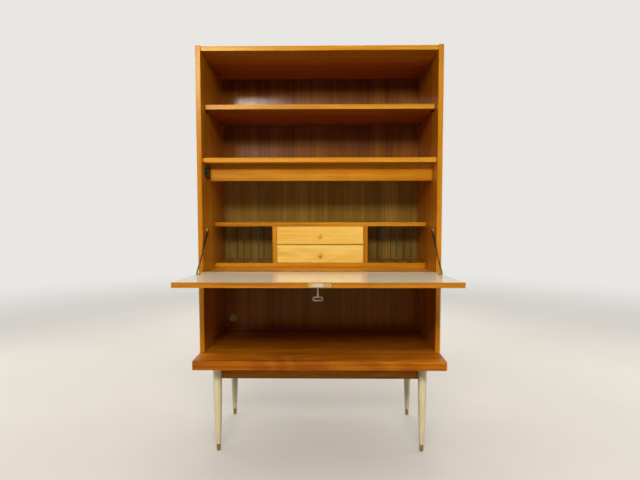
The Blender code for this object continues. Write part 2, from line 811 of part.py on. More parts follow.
# ---------------------------------------------------------------- stays
def make_stays(pivot):
    """A folding stay on each side: a bracket on the case, two links, and a foot on the flap."""
    elbow = Vector((at(STAY_ELBOW[0]), STAY_ELBOW[1]))
    upper = Vector((at(STAY_UPPER_PIVOT[0]), STAY_UPPER_PIVOT[1]))
    foot = pivot.location + Matrix.Rotation(-FLAP_TILT, 3, "X") @ Vector((0, *STAY_FOOT))
    foot = Vector((foot.y, foot.z))
    hole = STAY_PIN_RADIUS + FIT
    upper_thick, lower_thick = STAY_LINKS["upper"][1], STAY_LINKS["lower"][1]
    bracket_x = INNER - FIT - STAY_PLATE / 2
    upper_x = bracket_x - (STAY_PLATE + upper_thick) / 2 - STAY_GAP
    lower_x = upper_x - (upper_thick + lower_thick) / 2 - STAY_GAP
    ear_x = lower_x - (lower_thick + STAY_PLATE) / 2 - STAY_GAP
    upper_pin_end = upper_x - (upper_thick + STAY_GAP) / 2
    lower_pin_end = lower_x + (lower_thick + STAY_GAP) / 2
    bracket_outline = stadium(0.0105, 0.0135, -0.0045)
    for side, sign in SIDES.items():
        for name, x, start in (("upper", upper_x, upper), ("lower", lower_x, foot)):
            width, thick = STAY_LINKS[name]
            outlines = [stadium((elbow - start).length, width), circle((0, 0), hole)]
            place = (sign * x, start.x, start.y)
            turn = in_side_plane(elbow - start)
            flat(f"stay_{name}_{side}", outlines, thick, STEEL, place, turn)

        place = (sign * bracket_x, upper.x, upper.y)
        turn = in_side_plane((0, 1))
        bracket = flat(f"stay_bracket_{side}", [bracket_outline], STAY_PLATE, STEEL, place, turn)
        pin = stay_pin(f"stay_upper_pin_{side}", sign, upper_pin_end, bracket_x, upper)
        join(bracket, pin)
        make_foot(side, sign, ear_x, lower_pin_end, pivot)


def stay_pin(name, sign, x0, x1, place, parent=None):
    location = (sign * (x0 + x1) / 2, place[0], place[1])
    return rod(name, None, STAY_PIN_RADIUS, x1 - x0, location, ALONG_X, 20, parent)


def make_foot(side, sign, ear_x, pin_end, pivot):
    """An angle on the writing surface, whose upright ear carries the lower pin."""
    half_length, reach, ear_width, overrun = 0.014, 0.012, 0.013, 0.01
    y, z = STAY_FOOT
    low_x, high_x = mirrored(side, ear_x - reach, ear_x + STAY_PLATE / 2)
    foot = board(
        f"stay_foot_{side}",
        (low_x, y - half_length, FIT),
        (high_x, y + half_length, FIT + STAY_PLATE),
        STEEL,
        edge=0,
        parent=pivot,
    )
    ear_drop = z - FIT - STAY_PLATE / 2
    outline = stadium(ear_drop, ear_width, -ear_drop)
    turn = in_side_plane((0, 1))
    place = (sign * ear_x, y, z)
    ear = flat(f"stay_ear_{side}", [outline], STAY_PLATE, None, place, turn, pivot)
    floor_cut = block(
        f"stay_ear_trim_{side}",
        (low_x - overrun, y - half_length - overrun, -3 * overrun),
        (high_x + overrun, y + half_length + overrun, FIT),
        pivot,
    )
    pin_start = ear_x - STAY_PLATE / 2
    pin = stay_pin(f"stay_lower_pin_{side}", sign, pin_start, pin_end, STAY_FOOT, pivot)
    join(foot, ear, pin)
    cut(foot, floor_cut)


# ---------------------------------------------------------------- assembly
def main():
    make_case()
    make_lamp()
    make_switch()
    make_insert()
    make_base()
    pivot = bpy.data.objects.new("flap_pivot", None)
    pivot.location = (0, at(FLAP_AXIS_SETBACK), WRITING_HEIGHT)
    pivot.rotation_euler = (-FLAP_TILT, 0, 0)
    DESK.objects.link(pivot)
    make_hinge(pivot)
    make_flap(pivot)
    make_stays(pivot)


main()
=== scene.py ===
"""The looks of the secretary desk: materials, fine turned pieces and small fittings around the CAD frame."""

import json
import math

import bmesh
import bpy
from mathutils import Matrix, Vector


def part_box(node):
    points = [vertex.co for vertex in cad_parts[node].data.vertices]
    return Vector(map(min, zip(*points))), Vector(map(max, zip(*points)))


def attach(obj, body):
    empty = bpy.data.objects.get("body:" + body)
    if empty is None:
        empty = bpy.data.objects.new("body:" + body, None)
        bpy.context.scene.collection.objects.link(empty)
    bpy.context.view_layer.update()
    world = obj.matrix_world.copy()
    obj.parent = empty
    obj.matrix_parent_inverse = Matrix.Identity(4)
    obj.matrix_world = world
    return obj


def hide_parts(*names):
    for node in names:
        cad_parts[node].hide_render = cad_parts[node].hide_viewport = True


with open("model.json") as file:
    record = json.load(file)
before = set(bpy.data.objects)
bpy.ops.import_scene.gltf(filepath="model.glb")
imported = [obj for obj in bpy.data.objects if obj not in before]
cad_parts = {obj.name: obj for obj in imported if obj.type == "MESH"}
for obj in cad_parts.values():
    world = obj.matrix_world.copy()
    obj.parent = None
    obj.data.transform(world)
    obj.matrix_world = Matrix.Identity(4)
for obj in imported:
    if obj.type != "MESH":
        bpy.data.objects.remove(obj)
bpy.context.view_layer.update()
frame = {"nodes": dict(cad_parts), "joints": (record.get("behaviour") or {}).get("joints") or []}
NODES = frame["nodes"]

# ---------------------------------------------------------------- places read from the frame
FRONT_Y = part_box("side_panel_left")[0].y
JOINTS = {joint["name"]: joint for joint in frame["joints"]}
HINGE = Vector(JOINTS["flap_hinge"]["pos_m"])
FLAP_UP = Vector(JOINTS["key_turn"]["axis"]).normalized()
FLAP_AWAY = Vector((0, -FLAP_UP.z, FLAP_UP.y))  # along the open flap, away from its hinge

SMOOTH_SIDES = 56
HEAD_SIDES = 24
SKIN = 0.00015  # how far a small fitting stands off the face that it lies on

# ---------------------------------------------------------------- the surroundings' brightness
BACKDROP = (0.81, 0.80, 0.77, 1)  # what the camera sees
SURROUND = 0.12  # what lights rough surfaces, from all sides
REFLECTED = 0.60  # a pale wall behind the desk, as gloss reflects it
DIM_REFLECTED = 0.10  # the other directions, as gloss reflects them
WALL_EDGES = (("Y", 0.84, 0.93), ("Z", -0.10, 0.0))  # the wall fades in over these parts of a direction


# ---------------------------------------------------------------- objects, meshes and node trees
def new_object(name, data):
    made = bpy.data.objects.new(name, data)
    bpy.context.scene.collection.objects.link(made)
    return made


def finished_mesh(name, build):
    """A mesh from a bmesh, which it frees."""
    mesh = bpy.data.meshes.new(name)
    build.to_mesh(mesh)
    build.free()
    return mesh


class NodeTree:
    """A node tree that is built up node by node."""

    def __init__(self, tree):
        self.tree = tree

    def node(self, kind, inputs=(), **settings):
        made = self.tree.nodes.new(kind)
        for name, value in settings.items():
            setattr(made, name, value)
        for key, value in dict(inputs).items():
            self.feed(made.inputs[key], value)
        return made

    def feed(self, socket, value):
        if isinstance(value, bpy.types.NodeSocket):
            self.tree.links.new(value, socket)
        else:
            socket.default_value = value

    def math(self, operation, first, second=0.0, third=0.0):
        inputs = {0: first, 1: second, 2: third}
        return self.node("ShaderNodeMath", inputs, operation=operation).outputs[0]


class Finish(NodeTree):
    """A material on one Principled shader."""

    def __init__(self, name):
        self.material = bpy.data.materials.new(name)
        self.material.use_nodes = True
        super().__init__(self.material.node_tree)
        self.shader = self.tree.nodes["Principled BSDF"]

    def spread(self, scale, offset=(0, 0, 0)):
        """Object coordinates, stretched by a scale for each axis."""
        coordinates = self.node("ShaderNodeTexCoord").outputs["Object"]
        inputs = {"Vector": coordinates, "Scale": scale, "Location": offset}
        return self.node("ShaderNodeMapping", inputs).outputs["Vector"]

    def noise(self, vector, detail, roughness=0.55, distortion=0.0):
        inputs = {
            "Vector": vector,
            "Scale": 1.0,
            "Detail": detail,
            "Roughness": roughness,
            "Distortion": distortion,
        }
        return self.node("ShaderNodeTexNoise", inputs).outputs["Fac"]

    def ramp(self, fac, stops):
        """Colours, or grey levels given as one number, along a ramp."""
        made = self.node("ShaderNodeValToRGB", {"Fac": fac})
        elements = made.color_ramp.elements
        while len(elements) < len(stops):
            elements.new(0.5)
        for element, (position, value) in zip(elements, stops):
            rgb = value if isinstance(value, tuple) else (value,) * 3
            element.position = position
            element.color = (*rgb, 1)
        return made.outputs["Color"]

    def blend(self, fac, first, second, mode="MIX"):
        made = self.node("ShaderNodeMix", data_type="RGBA", blend_type=mode)
        color_a, color_b, color_result = 6, 7, 2
        self.feed(made.inputs["Factor"], fac)
        self.feed(made.inputs[color_a], first)
        self.feed(made.inputs[color_b], second)
        return made.outputs[color_result]

    def facing(self, axis):
        """How far a face looks along a world axis, from -1 to 1."""
        normal = self.node("ShaderNodeNewGeometry").outputs["True Normal"]
        return self.node("ShaderNodeSeparateXYZ", {0: normal}).outputs[axis]

    def along(self, axis, low, high, stops):
        """Colours by the place along an axis between two coordinates, for boards glued up of strips and for
        painted shade that changes with depth.
        """
        place = self.node("ShaderNodeSeparateXYZ", {0: self.node("ShaderNodeTexCoord").outputs["Object"]})
        inputs = {"Value": place.outputs[axis], "From Min": low, "From Max": high}
        return self.ramp(self.node("ShaderNodeMapRange", inputs).outputs["Result"], stops)

    def color(self, value):
        self.feed(self.shader.inputs["Base Color"], value)

    def roughness(self, fac, low, high):
        spread = self.node("ShaderNodeMapRange", {"Value": fac, "To Min": low, "To Max": high})
        self.feed(self.shader.inputs["Roughness"], spread.outputs["Result"])

    def bump(self, height, distance, strength):
        inputs = {"Height": height, "Distance": distance, "Strength": strength}
        self.feed(self.shader.inputs["Normal"], self.node("ShaderNodeBump", inputs).outputs[0])

    def set(self, **values):
        for name, value in values.items():
            self.shader.inputs[name.replace("_", " ")].default_value = value


# ---------------------------------------------------------------- camera, light and stage
def make_camera():
    """The view point, given from the middle of the case's front plane at floor height."""
    place = Vector((0.0270, FRONT_Y - 1.9244, 1.0074))
    turned_left, tipped_down, rolled = 0.0128, 0.05739, -0.00122
    data = bpy.data.cameras.new("camera")
    data.sensor_width = 36.0
    data.lens = 26.41
    data.clip_start = 0.01
    camera = new_object("camera", data)
    turn = Matrix.Rotation(turned_left, 4, "Z") @ Matrix.Rotation(math.pi / 2 - tipped_down, 4, "X")
    camera.matrix_world = Matrix.Translation(place) @ turn @ Matrix.Rotation(rolled, 4, "Z")
    bpy.context.scene.camera = camera


def area_light(name, place, target, size, power, color, diffuse=True, glossy=True, spread=180):
    """A rectangular light of a size in metres and a power in watts, that shines from a place to a target."""
    data = bpy.data.lights.new(name, "AREA")
    data.shape = "RECTANGLE"
    data.size, data.size_y = size
    data.energy = power
    data.color = color
    data.spread = math.radians(spread)
    light = new_object(name, data)
    light.location = place
    light.visible_diffuse = diffuse
    light.visible_glossy = glossy
    light.rotation_euler = (Vector(target) - Vector(place)).to_track_quat("-Z", "Y").to_euler()


def make_world():
    """A pale backdrop for the camera, a dim even surround for rough surfaces, and a pale wall for gloss."""
    world = bpy.data.worlds.new("studio")
    world.use_nodes = True
    sky = NodeTree(world.node_tree)
    sky.tree.nodes.remove(sky.tree.nodes["Background"])

    def background(color, strength):
        return sky.node("ShaderNodeBackground", {"Color": color, "Strength": strength}).outputs[0]

    def either(choice, no, yes):
        return sky.node("ShaderNodeMixShader", {0: choice, 1: no, 2: yes}).outputs[0]

    direction = sky.node("ShaderNodeTexCoord").outputs["Generated"]
    parts = sky.node("ShaderNodeSeparateXYZ", {0: direction})
    level = REFLECTED
    for axis, low, high in WALL_EDGES:
        edge = {"Value": parts.outputs[axis], "From Min": low, "From Max": high, "To Max": level}
        level = sky.node("ShaderNodeMapRange", edge).outputs["Result"]
    level = sky.math("MAXIMUM", level, DIM_REFLECTED)

    ray = sky.node("ShaderNodeLightPath")
    lit = background((1.0, 0.96, 0.90, 1), SURROUND)
    unseen = either(ray.outputs["Is Glossy Ray"], lit, background((1.0, 0.97, 0.92, 1), level))
    seen = either(ray.outputs["Is Camera Ray"], unseen, background(BACKDROP, 1.0))
    sky.feed(sky.tree.nodes["World Output"].inputs["Surface"], seen)
    bpy.context.scene.world = world


def make_light():
    """Soft studio light: soft boxes high and low in front, a wide overhead light, and fills around."""
    bpy.context.scene.view_settings.view_transform = "Standard"
    make_world()
    cool, warm, warmer = (0.97, 0.98, 1.0), (1.0, 0.95, 0.88), (1.0, 0.88, 0.70)
    area_light("key", (-0.10, -2.90, 2.25), (0, 0, 1.10), (2.0, 0.5), 78, warm, glossy=False)
    area_light("window", (-1.10, -3.00, 2.45), (-0.4, 0, 1.5), (0.7, 0.4), 45, cool, diffuse=False)
    low_place, low_size = (0.0, -2.80, 0.35), (2.4, 0.4)
    area_light("low_fill", low_place, (0, 0, 0.5), low_size, 1.4, warmer, glossy=False, spread=36)
    for side in (-1, 1):
        place, size = (side * 3.0, 0.6, 1.3), (1.6, 1.8)
        area_light(f"side_fill_{side}", place, (0, 0.6, 1.0), size, 22, warm, glossy=False)
    area_light("rear_fill", (0.0, 3.2, 1.7), (0, 0.4, 0.9), (2.4, 1.6), 40, warm, glossy=False)
    overhead = bpy.data.lights.new("overhead", "SUN")
    overhead.energy = 1.8
    overhead.angle = math.radians(110)
    overhead.color = (1.0, 0.97, 0.93)
    new_object("overhead", overhead)


def make_floor():
    """A pale floor that fades into the backdrop away from the desk, and throws no light on it."""
    size, fade_from, fade_to = 80.0, 1.5, 6.5
    build = bmesh.new()
    bmesh.ops.create_grid(build, x_segments=1, y_segments=1, size=size / 2)
    floor = new_object("floor", finished_mesh("floor", build))
    finish = Finish("pale_floor")
    cloud = finish.noise(finish.spread((1.3, 1.3, 1.3)), detail=3)
    finish.color(finish.ramp(cloud, ((0.3, (0.635, 0.615, 0.58)), (0.7, (0.665, 0.645, 0.61)))))
    finish.set(Roughness=0.65, Specular_IOR_Level=0.2)
    place = finish.node("ShaderNodeTexCoord").outputs["Object"]
    away = finish.node("ShaderNodeVectorMath", {0: place}, operation="LENGTH").outputs["Value"]
    edge = {"Value": away, "From Min": fade_from, "From Max": fade_to}
    fade = finish.node("ShaderNodeMapRange", edge, interpolation_type="SMOOTHSTEP").outputs["Result"]
    glow = finish.node("ShaderNodeEmission", {"Color": BACKDROP}).outputs[0]
    mix = finish.node("ShaderNodeMixShader", {0: fade, 1: finish.shader.outputs[0], 2: glow})
    finish.feed(finish.tree.nodes["Material Output"].inputs["Surface"], mix.outputs[0])
    floor.data.materials.append(finish.material)
    floor.visible_diffuse = False
    floor.visible_glossy = False


def make_shade():
    """A card close behind the cable hole that glows a constant dim brown: painted shade, for the shade
    between the case and a wall.
    """
    low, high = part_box("niche_back_panel")
    vertices = [vertex.co for vertex in NODES["niche_back_panel"].data.vertices]
    rim = [co for co in vertices if low.x + SKIN < co.x < high.x - SKIN]
    middle = sum(rim, Vector()) / len(rim)
    radius = max((co - middle).xz.length for co in rim) + SKIN
    turns = [2 * math.pi * i / SMOOTH_SIDES for i in range(SMOOTH_SIDES)]
    spots = [(middle.x + radius * math.cos(a), middle.z + radius * math.sin(a)) for a in turns]
    mesh = bpy.data.meshes.new("shade")
    mesh.from_pydata([(x, high.y + SKIN, z) for x, z in spots], [], [range(SMOOTH_SIDES)])
    # painted shade: a black card that glows a constant dim brown whatever light falls on it
    black, painted_shade_glow = (0, 0, 0, 1), (0.046, 0.024, 0.008, 1)
    finish = Finish("shade")
    finish.color(black)
    finish.set(Roughness=1.0, Specular_IOR_Level=0.0, Emission_Color=painted_shade_glow, Emission_Strength=1.0)
    mesh.materials.append(finish.material)
    new_object("shade", mesh)


# ---------------------------------------------------------------- colours of the woods
# Each veneer has three tones: its dark lines, its body and its light lines.
SHELF_HONEY = ((0.44, 0.148, 0.005), (0.64, 0.256, 0.012), (0.79, 0.378, 0.032))
HONEY = ((0.36, 0.112, 0.003), (0.54, 0.196, 0.007), (0.69, 0.300, 0.018))
# painted shade: a darker copy of the honey veneer for the right side panel, which the light reaches less
SHADED_RIGHT_HONEY = ((0.32, 0.088, 0.003), (0.50, 0.168, 0.006), (0.66, 0.270, 0.017))
AMBER = ((0.29, 0.070, 0.003), (0.47, 0.135, 0.005), (0.64, 0.230, 0.014))
FLAP_GOLD = ((0.27, 0.074, 0.003), (0.44, 0.142, 0.004), (0.60, 0.235, 0.010))
DARK_BACK = ((0.080, 0.022, 0.003), (0.200, 0.062, 0.006), (0.340, 0.130, 0.018))
NICHE_BACK = ((0.105, 0.019, 0.002), (0.200, 0.042, 0.002), (0.305, 0.080, 0.006))
OLIVE_BACK = ((0.110, 0.055, 0.008), (0.240, 0.134, 0.022), (0.400, 0.250, 0.065))
MAPLE = ((0.74, 0.40, 0.060), (0.86, 0.54, 0.105), (0.93, 0.66, 0.190))
PALE_MAPLE = ((0.80, 0.49, 0.085), (0.92, 0.64, 0.150), (0.97, 0.75, 0.250))
KNOB_MAPLE = ((0.62, 0.28, 0.015), (0.78, 0.42, 0.030), (0.88, 0.54, 0.070))
HARDBOARD = ((0.35, (0.210, 0.115, 0.048)), (0.65, (0.270, 0.155, 0.068)))
HONEY_GLOSS = (1.0, 0.78, 0.34, 1)
BACK_GLOSS = (0.95, 0.86, 0.74, 1)
BOARDS = {
    "top_board": SHELF_HONEY,
    "adjustable_shelf": SHELF_HONEY,
    "fixed_shelf": SHELF_HONEY,
    "hatch_floor": SHELF_HONEY,
    "pelmet_rail": HONEY,
    "insert_shelf": HONEY,
    "insert_base": SHELF_HONEY,
    "drawer_runner": HONEY,
    "apron_frame": AMBER,
    "flap_board": FLAP_GOLD,
}
# Painted shade: these undersides are made darker and redder than the tops.
SHADED_UNDERSIDES = {"top_board": (0.84, 0.70, 0.60), "adjustable_shelf": (0.62, 0.46, 0.50)}
MOSTLY_FACING = ((0.6, 0.0), (0.8, 1.0))  # from no to yes, by how far a face looks along an axis


def stretch(axis, across, along):
    """A scale for each axis: one along the grain's axis, and another across it."""
    return tuple(along if name == axis else across for name in "xyz")


def wood(
    name,
    axis,
    tones,
    seed,
    streak=55.0,
    band=8.0,
    figure=0.012,
    contrast=1.5,
    gloss=(0.24, 0.36),
    tint=HONEY_GLOSS,
    strips=None,
    rear=None,
    under=None,
):
    """Lacquered veneer whose grain runs along one axis: figure, bands, streaks and fine dark pores.

    streak and band scale the lines across the grain, figure is the share of the rings, contrast sets the dark
    and light lines apart, and gloss gives the lowest and the highest roughness. strips tints the board by its
    depth, for glued-up strips and for painted shade behind a front edge; rear turns it to hardboard by its
    depth, and under darkens and reddens the faces that look down, as painted shade.
    """
    finish = Finish(name)
    offset = (seed * 3.7, seed * 5.3, seed * 2.9)

    def layer(across, along, grain=axis, **settings):
        return finish.noise(finish.spread(stretch(grain, across, along), offset), **settings)

    wander = layer(3.0, 0.9, detail=2, distortion=0.3)
    bands = layer(band, 0.35, detail=3, distortion=0.6)
    streaks = layer(streak, 1.1, detail=5, roughness=0.6)
    edge_streaks = layer(streak, 1.1, grain="x" if axis == "y" else "y", detail=5)
    fine = layer(streak * 5, 5.0, detail=3, roughness=0.7)
    pores = layer(700, 22.0, detail=1)
    ring_density = 75.0
    rings = finish.math("SINE", finish.math("MULTIPLY", wander, ring_density))

    shares = ((bands, 0.34), (streaks, 0.42), (fine, 0.16))
    mixed = 0.5 * (1 - sum(share for _, share in shares))
    for made, share in (*shares, (rings, figure)):
        mixed = finish.math("MULTIPLY_ADD", made, share, mixed)
    edge_share = 0.45
    edging = finish.math("MULTIPLY_ADD", edge_streaks, edge_share, 0.5 * (1 - edge_share))
    ends = finish.ramp(finish.math("ABSOLUTE", finish.facing(axis.upper())), MOSTLY_FACING)
    mixed = finish.blend(ends, mixed, edging)

    reach = 0.16 / contrast
    body = finish.ramp(mixed, ((0.5 - reach, tones[0]), (0.5, tones[1]), (0.5 + reach, tones[2])))
    if strips:
        body = finish.blend(1.0, body, finish.along("Y", *strips), "MULTIPLY")
    pore_mark = finish.ramp(pores, ((0.28, 0.62), (0.42, 1.0)))
    pore_share = 0.55
    body = finish.blend(pore_share, body, pore_mark, "MULTIPLY")
    # painted shade: faces that look down are made darker and redder
    if under:
        down = finish.ramp(finish.math("MULTIPLY", finish.facing("Z"), -1.0), MOSTLY_FACING)
        body = finish.blend(down, body, finish.blend(1.0, body, (*under, 1), "MULTIPLY"))
    if rear:
        body = finish.blend(finish.along("Y", *rear), body, finish.ramp(fine, HARDBOARD))
    finish.color(body)
    finish.roughness(fine, *gloss)
    finish.bump(finish.math("ADD", pore_mark, finish.math("MULTIPLY", fine, 0.6)), 0.00012, 0.5)
    finish.set(Specular_IOR_Level=0.45, Specular_Tint=tint)
    return finish.material


def laminate():
    """Glossy ivory laminate with a faint mottle and fine scratches."""
    finish = Finish("ivory_laminate_finish")
    mottle = finish.noise(finish.spread((9, 9, 9)), detail=6, roughness=0.65)
    speck = finish.noise(finish.spread((900, 900, 900)), detail=1)
    base = finish.ramp(mottle, ((0.3, (0.86, 0.80, 0.60)), (0.7, (0.90, 0.86, 0.68))))
    finish.color(finish.blend(0.10, base, finish.ramp(speck, ((0.3, 0.6), (0.6, 1.0))), "MULTIPLY"))
    scratches = finish.noise(finish.spread((40, 500, 40)), detail=3, roughness=0.7)
    finish.roughness(scratches, 0.07, 0.15)
    return finish.material


def paint():
    """Ivory lacquer over turned wood, with brush marks along the leg and a few dull spots."""
    finish = Finish("ivory_paint_finish")
    strokes = finish.noise(finish.spread((220, 220, 6)), detail=4)
    cloud = finish.noise(finish.spread((18, 18, 7)), detail=3)
    base = finish.ramp(cloud, ((0.3, (0.87, 0.74, 0.44)), (0.7, (0.94, 0.83, 0.55))))
    finish.color(finish.blend(0.12, base, finish.ramp(strokes, ((0.3, 0.7), (0.7, 1.0))), "MULTIPLY"))
    finish.roughness(strokes, 0.28, 0.45)
    finish.bump(strokes, 0.0001, 0.4)
    finish.set(Coat_Weight=0.3, Coat_Roughness=0.15)
    return finish.material


def metal(name, bright, dull, roughness, metallic=1.0, x_bands=None):
    """Metal with patches of tarnish and fine wear; a low metallic value stands for lacquered metal.

    The last argument gives two x coordinates and the colours between them, laid over the tone.
    """
    finish = Finish(name)
    patches = finish.noise(finish.spread((90, 90, 90)), detail=5, roughness=0.65)
    hairs = finish.noise(finish.spread((1500, 160, 1500)), detail=2)
    tone = finish.ramp(patches, ((0.35, dull), (0.62, bright)))
    if x_bands:
        tone = finish.blend(0.8, tone, finish.along("X", *x_bands))
    finish.color(finish.blend(0.2, tone, finish.ramp(hairs, ((0.3, 0.65), (0.7, 1.0))), "MULTIPLY"))
    finish.roughness(patches, roughness + 0.14, roughness - 0.05)
    finish.bump(hairs, 0.00005, 0.3)
    finish.set(Metallic=metallic)
    return finish.material


def plastic(name, dark, light, roughness):
    """Moulded plastic or enamel with a fine grain and a faint cloud."""
    finish = Finish(name)
    grain = finish.noise(finish.spread((1400, 1400, 1400)), detail=2)
    cloud = finish.noise(finish.spread((60, 60, 60)), detail=3)
    finish.color(finish.ramp(cloud, ((0.3, dark), (0.7, light))))
    finish.roughness(cloud, roughness - 0.05, roughness + 0.08)
    finish.bump(grain, 0.00006, 0.35)
    finish.set(Specular_IOR_Level=0.25)
    return finish.material


def glass():
    """Clear panes whose cut edges look dark green."""
    finish = Finish("glass_finish")
    edge = finish.ramp(finish.math("ABSOLUTE", finish.facing("X")), ((0.4, 1.0), (0.6, 0.0)))
    smear = finish.noise(finish.spread((30, 30, 12)), detail=4)
    face = finish.ramp(smear, ((0.3, (0.12, 0.15, 0.10)), (0.7, (0.17, 0.20, 0.14))))
    finish.color(finish.blend(edge, face, (0.012, 0.035, 0.022, 1)))
    alpha = finish.node("ShaderNodeMapRange", {"Value": edge, "To Min": 0.07, "To Max": 0.98})
    finish.feed(finish.shader.inputs["Alpha"], alpha.outputs["Result"])
    finish.roughness(smear, 0.03, 0.07)
    return finish.material


# ---------------------------------------------------------------- metals and paint
PAINT = paint()
BRASS = metal("brass_finish", (0.95, 0.58, 0.14), (0.62, 0.38, 0.09), 0.28, metallic=0.6)
HINGE_BRASS = metal("hinge_brass_finish", (0.150, 0.085, 0.025), (0.060, 0.032, 0.010), 0.55)
FOOT_BRASS = metal("foot_brass_finish", (0.62, 0.47, 0.20), (0.34, 0.23, 0.09), 0.34, metallic=0.6)
STEEL = metal("steel_finish", (0.56, 0.54, 0.50), (0.30, 0.29, 0.27), 0.34, metallic=0.6)
BRIGHT_STEEL = metal("bright_steel_finish", (0.88, 0.85, 0.76), (0.70, 0.66, 0.56), 0.25, metallic=0.3)
SCREW_STEEL = metal("screw_steel_finish", (0.30, 0.33, 0.38), (0.20, 0.22, 0.26), 0.34, metallic=0.5)
DARK_STEEL = metal("dark_steel_finish", (0.20, 0.18, 0.16), (0.08, 0.07, 0.06), 0.40)
KEY_STEEL = metal("key_steel_finish", (0.80, 0.61, 0.43), (0.32, 0.24, 0.16), 0.30, metallic=0.5)
STAY_STEEL = metal("stay_steel_finish", (0.150, 0.085, 0.035), (0.055, 0.030, 0.012), 0.45, metallic=0.7)


def lock_brass():
    """Pale brass with a silver patch in the middle and dark brass beside it."""
    bright, dull = (0.86, 0.66, 0.26), (0.70, 0.52, 0.18)
    pale, dark, silver = (0.86, 0.68, 0.27), (0.61, 0.40, 0.10), (0.79, 0.77, 0.60)
    stops = [(0.00, pale), (0.27, pale), (0.35, silver), (0.62, silver)]
    stops += [(0.70, dark), (0.80, dark), (0.92, pale)]
    low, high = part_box("lock_case")
    return metal("lock_brass_finish", bright, dull, 0.32, metallic=0.35, x_bands=(low.x, high.x, stops))


# ---------------------------------------------------------------- dressing the CAD nodes
def dress(material, *names):
    for name in names:
        node = NODES[name]
        node.data.materials.clear()
        node.data.materials.append(material)


def depth_of(name):
    low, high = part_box(name)
    return low.y, high.y


def dress_boards():
    """The insert's base is darker behind its front edge: painted shade on its top inside the pigeonholes."""
    shade_behind_edge = (*depth_of("insert_base"), ((0.0, 1.0), (0.02, 1.0), (0.05, 0.55), (1.0, 0.50)))
    for seed, (name, tones) in enumerate(BOARDS.items(), 3):
        strips = shade_behind_edge if name == "insert_base" else None
        dress(wood(f"{name}_veneer", "x", tones, seed, strips=strips, under=SHADED_UNDERSIDES.get(name)), name)


def dress_slab():
    """The base slab is glued up of strips of three tones, and its front edge is a little warmer."""
    stops = (
        (0.000, (0.98, 0.91, 0.45)),
        (0.012, (1.00, 1.00, 1.00)),
        (0.26, (0.96, 0.90, 0.90)),
        (0.29, (0.82, 0.90, 0.60)),
        (0.45, (0.86, 0.84, 0.60)),
        (0.47, (0.74, 0.80, 0.50)),
    )
    strips = (*depth_of("base_slab"), stops)
    veneer = wood("base_slab_veneer", "x", AMBER, 15, streak=75.0, contrast=1.8, figure=0.028, strips=strips)
    dress(veneer, "base_slab")


def dress_backs():
    """Finely striped veneer in front and bare hardboard behind."""
    rear = (*depth_of("upper_back_panel"), ((0.90, 0.0), (0.96, 1.0)))
    stripes = {"streak": 170.0, "band": 24.0, "contrast": 0.85, "gloss": (0.17, 0.27), "rear": rear}
    dress(wood("upper_back_veneer", "z", DARK_BACK, 31, tint=BACK_GLOSS, **stripes), "upper_back_panel")
    dress(wood("niche_back_veneer", "z", NICHE_BACK, 32, **stripes), "niche_back_panel")
    dress(wood("hatch_back_veneer", "z", OLIVE_BACK, 33, **stripes), "hatch_back_panel")


def dress_drawers():
    for seed, (level, tones) in enumerate((("upper", MAPLE), ("lower", PALE_MAPLE)), 40):
        front = wood(f"drawer_{level}_maple", "x", tones, seed, streak=34.0, band=7.0, figure=0.02)
        dress(front, f"drawer_{level}_front")
        dress(wood(f"drawer_{level}_box_maple", "y", MAPLE, seed + 5), f"drawer_{level}_box")


def dress_case():
    dress(wood("side_veneer_left", "z", HONEY, 1), "side_panel_left")
    # painted shade: the right side takes the darker copy of the veneer
    dress(wood("side_veneer_right", "z", SHADED_RIGHT_HONEY, 2), "side_panel_right")
    for seed, side in enumerate(("left", "right"), 20):
        dress(wood(f"divider_veneer_{side}", "z", HONEY, seed), f"insert_divider_{side}")
    dress_boards()
    dress_slab()
    dress_backs()
    dress_drawers()


def dress_fittings():
    black = plastic("black_plastic_finish", (0.010, 0.010, 0.010), (0.022, 0.021, 0.020), 0.42)
    pins = [f"shelf_pin_{end}_{side}" for end in ("front", "rear") for side in ("left", "right")]
    dress(black, "switch_housing", "switch_plunger", *pins)
    dress(plastic("lamp_enamel", (0.80, 0.79, 0.74), (0.86, 0.85, 0.80), 0.3), "strip_lamp")
    dress(BRASS, "strike_plate")
    dress(lock_brass(), "lock_case")
    dress(HINGE_BRASS, "hinge_leaf_case", "hinge_leaf_flap")
    dress(BRIGHT_STEEL, "lock_bolt", "stay_bracket_left", "stay_bracket_right")
    dress(KEY_STEEL, "key")
    dress(STAY_STEEL, *[name for name in NODES if name.startswith(("stay_upper", "stay_lower"))])
    dress(FOOT_BRASS, "stay_foot_left", "stay_foot_right")
    dress(glass(), *[name for name in NODES if name.startswith("glass_divider")])
    dress(laminate(), "writing_surface")


# ---------------------------------------------------------------- pieces
def add_piece(name, mesh, material, body):
    mesh.materials.clear()
    mesh.materials.append(material)
    piece = new_object(name, mesh)
    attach(piece, body)
    return piece


def turned_mesh(name, profile, sides=SMOOTH_SIDES):
    """A closed turned mesh about Z, from (radius, height) points that run from axis to axis."""
    build = bmesh.new()
    angles = [2 * math.pi * i / sides for i in range(sides)]
    rows = []
    for radius, height in profile:
        if radius == 0:
            rows.append([build.verts.new((0, 0, height))])
        else:
            spots = [(radius * math.cos(a), radius * math.sin(a), height) for a in angles]
            rows.append([build.verts.new(spot) for spot in spots])
    for upper, lower in zip(rows, rows[1:]):
        for i in range(sides):
            j = (i + 1) % sides
            corners = [row[spot % len(row)] for row, spot in ((upper, i), (upper, j), (lower, j), (lower, i))]
            face = list(dict.fromkeys(corners))
            if len(face) > 2:
                build.faces.new(face)
    bmesh.ops.recalc_face_normals(build, faces=build.faces)
    mesh = finished_mesh(name, build)
    mesh.shade_smooth()
    mesh.set_sharp_from_angle(angle=math.radians(40))
    return mesh


